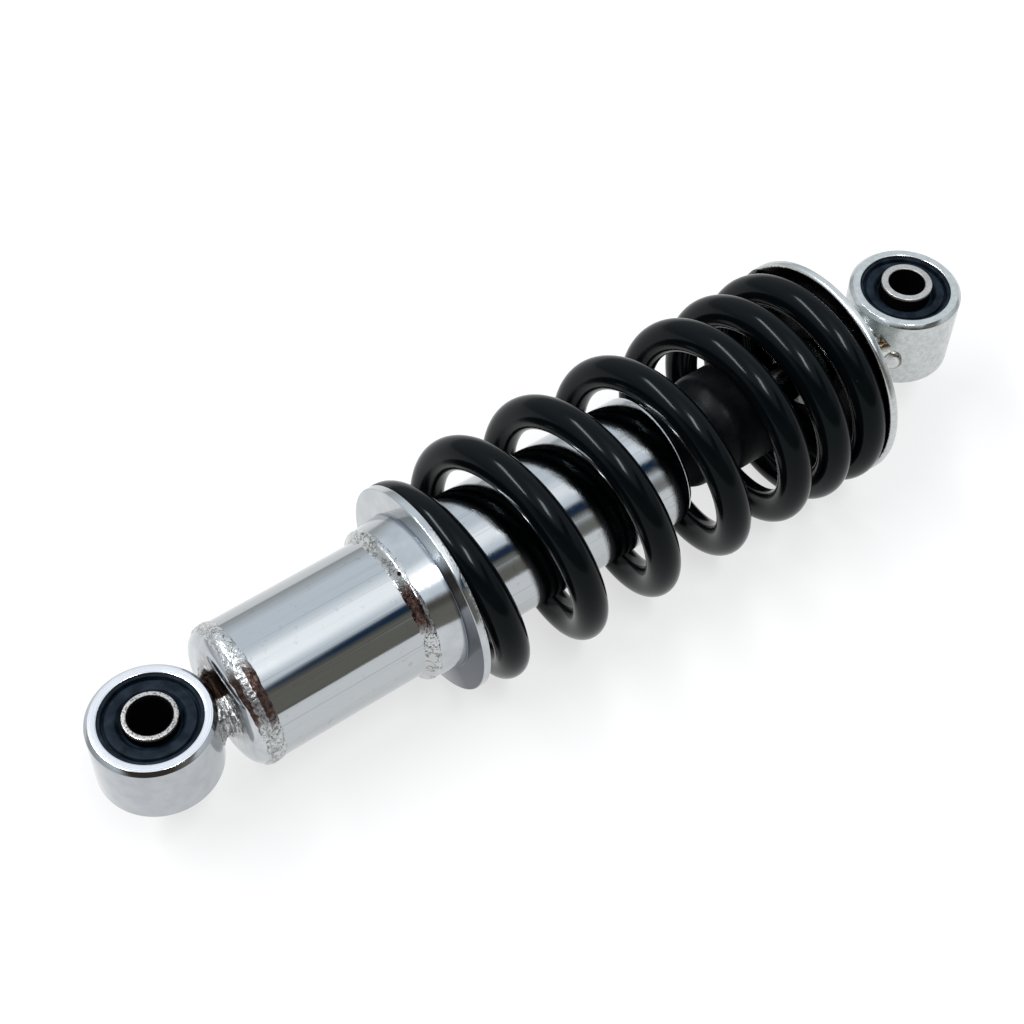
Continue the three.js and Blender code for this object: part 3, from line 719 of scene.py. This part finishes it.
def tube_body():
    """The outer tube, its upper end rolled in round the rod guide."""
    wall = 1.8 * MM
    roll = 2.6 * MM
    mouth = TUBE_R - 3.8 * MM
    return lathe("tube_body", soften([
        (TUBE_R - wall, TUBE_START, 0.0),
        (TUBE_R, TUBE_START, 0.0),
        (TUBE_R, TUBE_END, roll),
        (mouth, TUBE_END, 0.5 * MM),
        (mouth, TUBE_END - wall, 0.0),
        (TUBE_R - wall, TUBE_END - wall, roll - wall),
    ], steps=10), CHROME)


COLLAR_R, COLLAR_END_R = 21.6 * MM, 22.6 * MM


def seat_flange():
    """The collar on the tube and the flange that carries the spring."""
    bore = TUBE_R + 0.1 * MM
    return lathe("seat_flange", soften([
        (bore, SEAT_START, 0.0),
        (COLLAR_R, SEAT_START, 0.6 * MM),
        (COLLAR_END_R, FLANGE_BACK, 0.12 * MM),
        (FLANGE_R, FLANGE_BACK, 0.4 * MM),
        (FLANGE_R, SEAT_FACE, 0.4 * MM),
        (bore, SEAT_FACE, 0.0),
    ], steps=8), SATIN)


place(end_cap(), "damper", "end_cap")
place(tube_body(), "damper", "damper_tube")
place(seat_flange(), "damper", "lower_spring_seat")


# ---- Weld beads ----

def cap_profile(x):
    """Radius of the end cap and the tube at a place along X."""
    into_shoulder = CAP_START + CAP_SHOULDER - x
    if into_shoulder <= 0:
        return TUBE_R
    return TUBE_R - CAP_SHOULDER + math.sqrt(max(CAP_SHOULDER ** 2 - into_shoulder ** 2, 0))


def collar_profile(x):
    """Radius of the tube and the seat's collar, with a ramp from one up to the other."""
    share = min(max((x - SEAT_START + 2.3 * MM) / (2.6 * MM), 0), 1)
    return TUBE_R + (COLLAR_R - TUBE_R) * share * share * (3 - 2 * share)


SPREAD_SIDE, SPREAD_WIDTH = math.radians(122), math.radians(30)   # where the end weld has spread
BLOB_SIDE, BLOB_WIDTH = math.radians(72), math.radians(11)        # where it ends in a blob


def hump(angle, middle, width):
    """A smooth bump round an angle, 1 in its middle."""
    return math.exp(-((angle - middle) / width) ** 2)


def weld_ring(name, profile, start, end, height, crinkle, material, seed, blob=0.0, spill=0.0):
    """A weld bead on a turned profile: its edges wander and its top is uneven."""
    rounds, across = 600, 36
    below = 0.6 * MM
    grid = np.zeros((rounds, across + 2, 3))
    for i in range(rounds):
        angle = 2 * math.pi * i / rounds
        around = Vector((TUBE_R * math.cos(angle), TUBE_R * math.sin(angle), seed))
        spread = spill * hump(angle, SPREAD_SIDE, SPREAD_WIDTH)
        left = start + 0.5 * MM * roughness_at(around, 4 * MM) - spread
        right = end + 0.4 * MM * roughness_at(around + Vector((0, 0, 1)), 3 * MM)
        swell = 1 + 0.35 * roughness_at(around + Vector((0, 0, 2)), 5 * MM)
        lump = blob * hump(angle, BLOB_SIDE, BLOB_WIDTH)
        for j in range(across):
            share = j / (across - 1)
            along = left + (right - left) * share
            point = Vector((along + seed, around.x, around.y))
            dome = math.sin(math.pi * share) ** 0.55
            uneven = crinkle * roughness_at(point, 1.3 * MM, 5)
            reach = profile(along) - 0.06 * MM + dome * (height * swell + lump + uneven)
            grid[i, j] = (along, reach * math.cos(angle), reach * math.sin(angle))
        for j, along in ((across, right), (across + 1, left)):
            reach = profile(along) - below
            grid[i, j] = (along, reach * math.cos(angle), reach * math.sin(angle))
    return finish_mesh(name, *closed_grid(grid, flip=True), material, sharp=65)


place(weld_ring("end_weld_bead", cap_profile, CAP_START + 2.3 * MM, TUBE_START + 4.1 * MM,
                0.42 * MM, 0.16 * MM, END_WELD, 0.3, blob=0.7 * MM, spill=1.5 * MM),
      "damper", "end_weld")
place(weld_ring("seat_weld_bead", collar_profile, SEAT_START - 2.3 * MM, SEAT_START + 1.7 * MM,
                0.32 * MM, 0.06 * MM, SEAT_WELD, 0.7),
      "damper", "seat_weld")


def flared(share, start, waist, end):
    """A half width that starts wide, narrows to its waist and widens again, as share goes 0 to 1."""
    bend = math.sin(math.pi * share)
    return start + (end - start) * share - ((start + end) / 2 - waist) * bend


def squarish(value):
    """A sine or cosine that makes a rounded square of a circle."""
    return math.copysign(abs(value) ** 0.625, value)


def neck_weld():
    """The weld that fills the gap between the lower ring and the cap, hollowed on every side."""
    rows, columns = 60, 120
    inner = EYE_R - 0.5 * MM
    reach = CAP_START + 0.3 * MM
    seed = 0.2
    grid = np.zeros((rows, columns, 3))
    for i in range(rows):
        share = i / (rows - 1)
        half_y = flared(share, 9.6 * MM, 7.6 * MM, 11.2 * MM)
        half_z = flared(share, 9.2 * MM, 6.8 * MM, 7.8 * MM)
        for j in range(columns):
            angle = 2 * math.pi * j / columns
            y = half_y * squarish(math.cos(angle))
            z = half_z * squarish(math.sin(angle))
            grow = 1 + 0.075 * roughness_at((share * reach, y, z + seed), 2.6 * MM, 5)
            on_ring = math.sqrt(max(inner ** 2 - (y * grow) ** 2, 0))
            grid[i, j] = (LOWER_X + on_ring * (1 - share) + reach * share, y * grow, z * grow)
    return finish_mesh("lower_neck_weld", *capped_grid(grid), NECK_WELD, sharp=70)


place(neck_weld(), "damper", "lower_eye_weld")


# ---- Upper end: stub, welds, spring seat, nut and rod ----

def upper_stub():
    """The bar between the disc and the upper eye, hollow where the rod's stud goes in."""
    end = UPPER_X - EYE_BORE_R
    hollow_end = STUB_START + 6.6 * MM
    hollow_r = 5.1 * MM
    return lathe("upper_stub_bar", soften([
        (0.0, hollow_end, 0.0),
        (hollow_r, hollow_end, 0.0),
        (hollow_r, STUB_START, 0.0),
        (STUB_R, STUB_START, 0.5 * MM),
        (STUB_R, end, 0.0),
        (0.0, end, 0.0),
    ]), ZINC)


def weld_fillet(sign, seed):
    """Rings of the fillet weld beside the stub, from the stub out to the eye ring."""
    rows, columns = 48, 96
    start = STUB_START + 9.5 * MM
    inner = EYE_R - 0.6 * MM
    grid = np.zeros((rows, columns, 3))
    for i in range(rows):
        share = i / (rows - 1)
        swell = math.sin(math.pi * min(1.0, 0.08 + 0.92 * share) * 0.5) ** 0.6
        half_z = 4.6 * MM * swell
        half_y = 2.4 * MM * swell
        middle_y = sign * (STUB_R - 1.4 * MM + 1.6 * MM * share ** 2)
        for j in range(columns):
            angle = 2 * math.pi * j / columns
            y = middle_y + half_y * math.cos(angle)
            z = half_z * math.sin(angle)
            rough = 0.25 * MM * roughness_at((share * 10 * MM, y, z + seed), 2.2 * MM, 4)
            y += rough * math.cos(angle)
            z += rough * math.sin(angle)
            ring = UPPER_X - math.sqrt(max(inner ** 2 - y * y, 0))
            grid[i, j] = (start + (ring - start) * share, y, z)
    return grid


def weld_button(sign, seed):
    """Rings of a round, low button of weld metal on the eye ring."""
    rows, columns = 24, 96
    middle = Vector((BUTTON_X, sign * BUTTON_Y, BUTTON_Z))
    outward = (middle - Vector((UPPER_X, 0, BUTTON_Z))).normalized()
    beside = outward.cross(Vector((0, 0, 1)))
    grid = np.zeros((rows, columns, 3))
    for i in range(rows):
        tilt = math.pi * (i + 0.5) / rows
        for j in range(columns):
            angle = 2 * math.pi * j / columns
            rough = 1 + 0.05 * roughness_at((tilt, angle, seed), 0.7, 3)
            reach = BUTTON_R * math.sin(tilt) ** 0.6 * rough
            height = 1.3 * MM * math.cos(tilt) * rough
            spot = middle + outward * height + beside * (reach * math.cos(angle))
            grid[i, j] = spot + Vector((0, 0, reach * math.sin(angle)))
    return grid


def fillet_blob(name, sign, seed):
    """A fillet weld beside the stub, with a button of weld metal where it meets the eye ring."""
    fillet, fillet_faces = capped_grid(weld_fillet(sign, seed))
    button, button_faces = capped_grid(weld_button(sign, seed), flip=True)
    offset = len(fillet)
    vertices = np.concatenate([fillet, button])
    faces = fillet_faces + [[index + offset for index in face] for face in button_faces]
    return finish_mesh(name, vertices, faces, ZINC_WELD, sharp=70)


def spring_seat_plate():
    """The round plate that the spring pushes on, its edge rounded on the spring's side."""
    hole_r = 6.6 * MM
    piece = lathe("spring_seat_plate", soften([
        (hole_r, DISC_FACE, 0.3 * MM),
        (DISC_R, DISC_FACE, 1.1 * MM),
        (DISC_R, DISC_BACK, 0.4 * MM),
        (hole_r, DISC_BACK, 0.3 * MM),
    ], steps=8), DISC_ZINC)
    piece.data.transform(Matrix.Translation((0, DISC_Y, DISC_Z)))
    return piece


def hex_nut():
    """A hexagon nut whose corners are turned down by a chamfer at both ends."""
    flats = 9.5 * MM
    chamfer_slope = 1.9
    sides = 180
    stations = [0.0, 0.04, 0.10, 0.2, 0.5, 0.8, 0.90, 0.96, 1.0]
    inner = ROD_R + 0.1 * MM
    grid = np.zeros((sides, 2 * len(stations), 3))
    for i in range(sides):
        angle = 2 * math.pi * i / sides
        beside = (angle + math.pi / 6) % (math.pi / 3) - math.pi / 6
        hexagon = flats / math.cos(beside)
        for j, share in enumerate(stations):
            depth = min(share, 1 - share) * (NUT_END - NUT_START)
            outer = min(hexagon, flats - 0.2 * MM + chamfer_slope * depth)
            x = NUT_START + share * (NUT_END - NUT_START)
            grid[i, j] = (x, outer * math.cos(angle), outer * math.sin(angle))
            grid[i, 2 * len(stations) - 1 - j] = (x, inner * math.cos(angle), inner * math.sin(angle))
    return finish_mesh("lock_nut_hex", *closed_grid(grid, flip=True), ZINC, sharp=30)


def rod_shaft():
    """The rod, with a spigot for the piston at one end and a stud for the upper eye at the other."""
    spigot_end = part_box("compression_shims")[1].x + 0.1 * MM
    spigot_r = 4 * MM
    stud_start = DISC_FACE - 1 * MM
    stud_r = 5 * MM
    return lathe("rod_shaft", soften([
        (0.0, ROD_START, 0.0),
        (spigot_r, ROD_START, 0.4 * MM),
        (spigot_r, spigot_end, 0.0),
        (ROD_R, spigot_end, 0.2 * MM),
        (ROD_R, stud_start, 0.3 * MM),
        (stud_r, stud_start, 0.0),
        (stud_r, ROD_END, 0.5 * MM),
        (0.0, ROD_END, 0.0),
    ]), ROD_CHROME, sides=96)


place(upper_stub(), "rod", "upper_stub")
place(fillet_blob("upper_weld_blob_front", -1, 0.4), "rod", "upper_weld_front")
place(fillet_blob("upper_weld_blob_back", 1, 0.9), "rod", "upper_weld_back")
place(spring_seat_plate(), "upper_seat", "upper_spring_seat")
place(hex_nut(), "rod", "lock_nut")
place(rod_shaft(), "rod", "piston_rod")


# ---- Bump stop ----

def bump_rubber():
    """Two smooth lobes with a groove between them, the smaller lobe towards the tube."""
    length = BUMP_END - BUMP_START
    bore = ROD_R + 0.3 * MM
    shape = [(0.0, 0.62), (0.04, 0.66), (0.14, 0.78), (0.24, 0.895), (0.31, 0.905),
             (0.365, 0.815), (0.42, 0.895), (0.50, 0.99), (0.58, 1.0), (0.82, 1.0),
             (0.92, 0.955), (0.98, 0.85), (1.0, 0.76)]
    shares, radii = np.array(shape).T
    fine = np.linspace(0, 1, 70)
    smooth = smooth_through(shares, radii * BUMP_R, fine)
    outline = [(radius, BUMP_START + length * share) for share, radius in zip(fine, smooth)]
    outline += [(bore, BUMP_END), (bore, BUMP_START)]
    return lathe("bump_rubber_stop", outline, BUMP_RUBBER, sides=128, sharp=50)


def smooth_through(xs, ys, wanted):
    """A monotone cubic curve through the points, without overshoot."""
    slopes = np.diff(ys) / np.diff(xs)
    tangents = np.concatenate([[slopes[0]], (slopes[:-1] + slopes[1:]) / 2, [slopes[-1]]])
    turning = np.concatenate([[False], slopes[:-1] * slopes[1:] <= 0, [False]])
    tangents[turning] = 0
    index = np.clip(np.searchsorted(xs, wanted) - 1, 0, len(xs) - 2)
    step = xs[index + 1] - xs[index]
    t = (wanted - xs[index]) / step
    return (ys[index] * (2 * t**3 - 3 * t**2 + 1) + step * tangents[index] * (t**3 - 2 * t**2 + t)
            + ys[index + 1] * (3 * t**2 - 2 * t**3) + step * tangents[index + 1] * (t**3 - t**2))


bump = place(bump_rubber(), "damper", "bump_stop")
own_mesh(bump)


# ---- Coil spring ----

WIRE_R = 4.7 * MM
COIL_R = SPRING_R - WIRE_R
TIP_TURN, LAST_TURN = -0.34, 7.1
LOWER_END_TURN, CLOSE_TURN, UPPER_END_TURN = 0.25, 4.25, 6.25
FREE_TURN = LOWER_END_TURN + 0.25   # where the wire leaves the lower seat
WIDE_PITCH, CLOSE_PITCH, END_PITCH = 24.6 * MM, 14.35 * MM, 8.5 * MM
FIRST_X = SEAT_FACE - 2.3 * MM
END_RISE = 3.5 * MM
END_TUCK = 2.5 * MM                 # how much smaller the lower end coil is
TUCK_START, TUCK_END = 0.2, 1.2
PITCH_EASE = 0.3                    # share of a turn over which one pitch changes into the next
RINGS_PER_TURN, WIRE_SIDES = 90, 36


def eased_climb(turn, start):
    """How far past start the turn has gone, with a smooth bend at start instead of a corner."""
    past = turn - start
    return (past + math.sqrt(past ** 2 + PITCH_EASE ** 2 / 4)) / 2


def spring_x(turn):
    """Place of the wire's centre line along X."""
    first = min(1.0, (turn - TIP_TURN) / (LOWER_END_TURN - TIP_TURN))
    wide = WIDE_PITCH * eased_climb(turn, LOWER_END_TURN)
    close = (CLOSE_PITCH - WIDE_PITCH) * eased_climb(turn, CLOSE_TURN)
    last = (END_PITCH - CLOSE_PITCH) * eased_climb(turn, UPPER_END_TURN)
    return FIRST_X + END_RISE * first + wide + close + last


def spring_radius(turn):
    """Radius of the wire's centre line, which is smaller on the lower end coil."""
    tucked = min(max((TUCK_END - turn) / (TUCK_END - TUCK_START), 0), 1)
    return COIL_R - END_TUCK * tucked * tucked * (3 - 2 * tucked)


def compression_share(turn):
    """How far a point of the wire follows the upper seat, in proportion to the gaps below it."""
    def gaps(t):
        return spring_x(t) - 2 * WIRE_R * t

    here = min(max(turn, FREE_TURN), UPPER_END_TURN)
    return (gaps(here) - gaps(FREE_TURN)) / (gaps(UPPER_END_TURN) - gaps(FREE_TURN))


def coil_spring():
    """Round wire on a helix, with both ends ground flat where they meet the seats."""
    rows = int((LAST_TURN - TIP_TURN) * RINGS_PER_TURN)
    turns = np.linspace(TIP_TURN, LAST_TURN, rows)
    centres = np.array([
        (spring_x(t), SPRING_Y + spring_radius(t) * math.cos(2 * math.pi * t),
         SPRING_Z + spring_radius(t) * math.sin(2 * math.pi * t)) for t in turns
    ])
    tangents = np.gradient(centres, axis=0)
    tangents /= np.linalg.norm(tangents, axis=1)[:, None]
    outward = np.stack([0 * turns, np.cos(2 * math.pi * turns), np.sin(2 * math.pi * turns)], axis=1)
    outward -= (outward * tangents).sum(1)[:, None] * tangents
    outward /= np.linalg.norm(outward, axis=1)[:, None]
    sideways = np.cross(tangents, outward)
    around = np.arange(WIRE_SIDES) * 2 * math.pi / WIRE_SIDES
    radii = np.full(rows, WIRE_R)
    radii[0] = radii[-1] = 0.92 * WIRE_R
    out = np.cos(around)[None, :, None] * outward[:, None, :]
    along = np.sin(around)[None, :, None] * sideways[:, None, :]
    grid = centres[:, None, :] + radii[:, None, None] * (out + along)
    grid[:, :, 0] = np.clip(grid[:, :, 0], SEAT_FACE + 0.1 * MM, DISC_FACE - 0.1 * MM)
    piece = finish_mesh("coil_spring_wire", *capped_grid(grid), PAINT, sharp=50)
    shares = np.repeat([compression_share(t) for t in turns], WIRE_SIDES)
    return piece, np.concatenate([shares, [shares[0], shares[-1]]])


spring, follow = coil_spring()
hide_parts("coil_spring")
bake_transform(spring)


# ---- Studio: floor, lights, world and camera ----

MIDDLE = Vector((UPPER_X / 2, 0, 0))
CAMERA_AIM = Vector((0.1136, 0.0068, 0.0))
CAMERA_AZIMUTH, CAMERA_ELEVATION, CAMERA_ROLL = -37.5, 51.94, 1.70
CAMERA_DISTANCE = 0.5133
CAMERA_LENS = 66.76
CEILING = 2.0
STRIP_WIDTH = 0.3
STRIP_RADIANCE = 32.0
FLOOR_SIZE = 8.0

LOW_ROOM, HIGH_ROOM = (0.56, 0.585, 0.59), (0.98, 1.05, 1.12)
LOW_DEGREES, HIGH_DEGREES = 5, 32

# Patches of the room, each over those before it: azimuth from +X towards +Y, elevation, half the
# width, half the height (all in degrees), softness of the edge, and colour.
ROOM_PATCHES = [
    (-45, 74, 75, 15, 0.5, (1.7, 1.73, 1.75)),         # ceiling above the near side
    (150, 55, 40, 12, 0.6, (1.4, 1.43, 1.46)),         # ceiling beyond the far side
    (-112, 12, 56, 27, 0.16, (0.205, 0.20, 0.175)),    # dark wall behind the camera
    (-70, 34, 22, 8, 0.3, (0.205, 0.20, 0.175)),       # a higher stretch of that wall
    (-130, 33, 45, 13, 0.3, (0.06, 0.05, 0.04)),       # the darkest stretch
    (-52, 40.5, 24, 7, 0.35, (0.018, 0.042, 0.085)),   # where the camera stands
]


def floor():
    """Plain pale paper, lit a little from within so that shadows stay faint."""
    paper = Look("floor_paper", Base_Color=(0.19, 0.19, 0.19, 1), Roughness=0.9,
                 Specular_IOR_Level=0.0, Emission_Color=(1, 1, 1, 1), Emission_Strength=0.67)
    half = FLOOR_SIZE / 2
    corners = [(-half, -half), (half, -half), (half, half), (-half, half)]
    made = finish_mesh("floor", [(x, y, FLOOR_Z) for x, y in corners], [(0, 1, 2, 3)], paper.material)


def strip_light(name, start, end):
    """A strip lamp on the ceiling, between two places given in shares of the ceiling's height."""
    first = MIDDLE + Vector((start[0], start[1], 1.0)) * CEILING
    last = MIDDLE + Vector((end[0], end[1], 1.0)) * CEILING
    lamp = bpy.data.lights.new(name, "AREA")
    lamp.shape = "RECTANGLE"
    lamp.size = (last - first).length
    lamp.size_y = STRIP_WIDTH
    lamp.energy = STRIP_RADIANCE * math.pi * lamp.size * lamp.size_y
    made = add_object(name, lamp)
    made.location = (first + last) / 2
    made.rotation_euler = (0, 0, math.atan2(last.y - first.y, last.x - first.x))
    made.visible_camera = False


def studio_world():
    """A pale room, dark on the side where the camera stands, and plain white where it is seen."""
    world = bpy.data.worlds.new("studio")
    bpy.context.scene.world = world
    world.use_nodes = True
    tree = world.node_tree
    tree.nodes.clear()

    def node(kind, inputs=None, **settings):
        return add_node(tree, kind, inputs, **settings)

    def wave(operation, first, second=0.0):
        return node("Math", {0: first, 1: second}, operation=operation).outputs[0]

    def patch(azimuth, elevation, half_azimuth, half_elevation, soft):
        """1 inside an ellipse of directions."""
        across = wave("DIVIDE", wave("SUBTRACT", turn, math.radians(azimuth)), math.radians(half_azimuth))
        over = wave("DIVIDE", wave("SUBTRACT", lift, math.radians(elevation)), math.radians(half_elevation))
        away = wave("SQRT", wave("ADD", wave("MULTIPLY", across, across), wave("MULTIPLY", over, over)))
        return node("MapRange", {"Value": away, "From Min": 1 + soft, "From Max": 1 - soft},
                    interpolation_type="SMOOTHSTEP").outputs["Result"]

    coords = node("TexCoord").outputs["Generated"]
    parts = node("SeparateXYZ", {0: coords}).outputs
    turn = wave("ARCTAN2", parts["Y"], parts["X"])
    lift = wave("ARCSINE", parts["Z"])
    low, high = math.radians(LOW_DEGREES), math.radians(HIGH_DEGREES)
    rise = node("MapRange", {"Value": lift, "From Min": low, "From Max": high})
    room = add_mix(tree, rise.outputs["Result"], LOW_ROOM, HIGH_ROOM)
    for *place_and_size, colour in ROOM_PATCHES:
        room = add_mix(tree, patch(*place_and_size), room, colour)
    is_camera = node("LightPath").outputs["Is Camera Ray"]
    seen = add_mix(tree, is_camera, room, (1, 1, 1))
    background = node("Background", {"Color": seen, "Strength": 1.0})
    output = node("OutputWorld")
    tree.links.new(background.outputs[0], output.inputs[0])


def camera():
    """A camera that looks at its aim from the photograph's side, slightly rolled."""
    data = bpy.data.cameras.new("camera")
    data.lens = CAMERA_LENS
    data.sensor_width = 36.0
    data.clip_start, data.clip_end = 0.01, 20.0
    azimuth, elevation = math.radians(CAMERA_AZIMUTH), math.radians(CAMERA_ELEVATION)
    flat = Vector((math.sin(azimuth), -math.cos(azimuth), 0)) * math.cos(elevation)
    back = flat + Vector((0, 0, math.sin(elevation)))
    level = back.to_track_quat("Z", "Y").to_matrix()
    rolled = level @ Matrix.Rotation(math.radians(CAMERA_ROLL), 3, "Z")
    made = add_object("camera", data)
    made.matrix_world = Matrix.Translation(CAMERA_AIM + back * CAMERA_DISTANCE) @ rolled.to_4x4()
    bpy.context.scene.camera = made


floor()
strip_light("strip_far", (-0.78, -0.10), (-0.25, 0.67))
strip_light("strip_near", (-0.18, -0.61), (0.10, -0.27))
studio_world()
camera()
bpy.context.scene.view_settings.view_transform = "Standard"
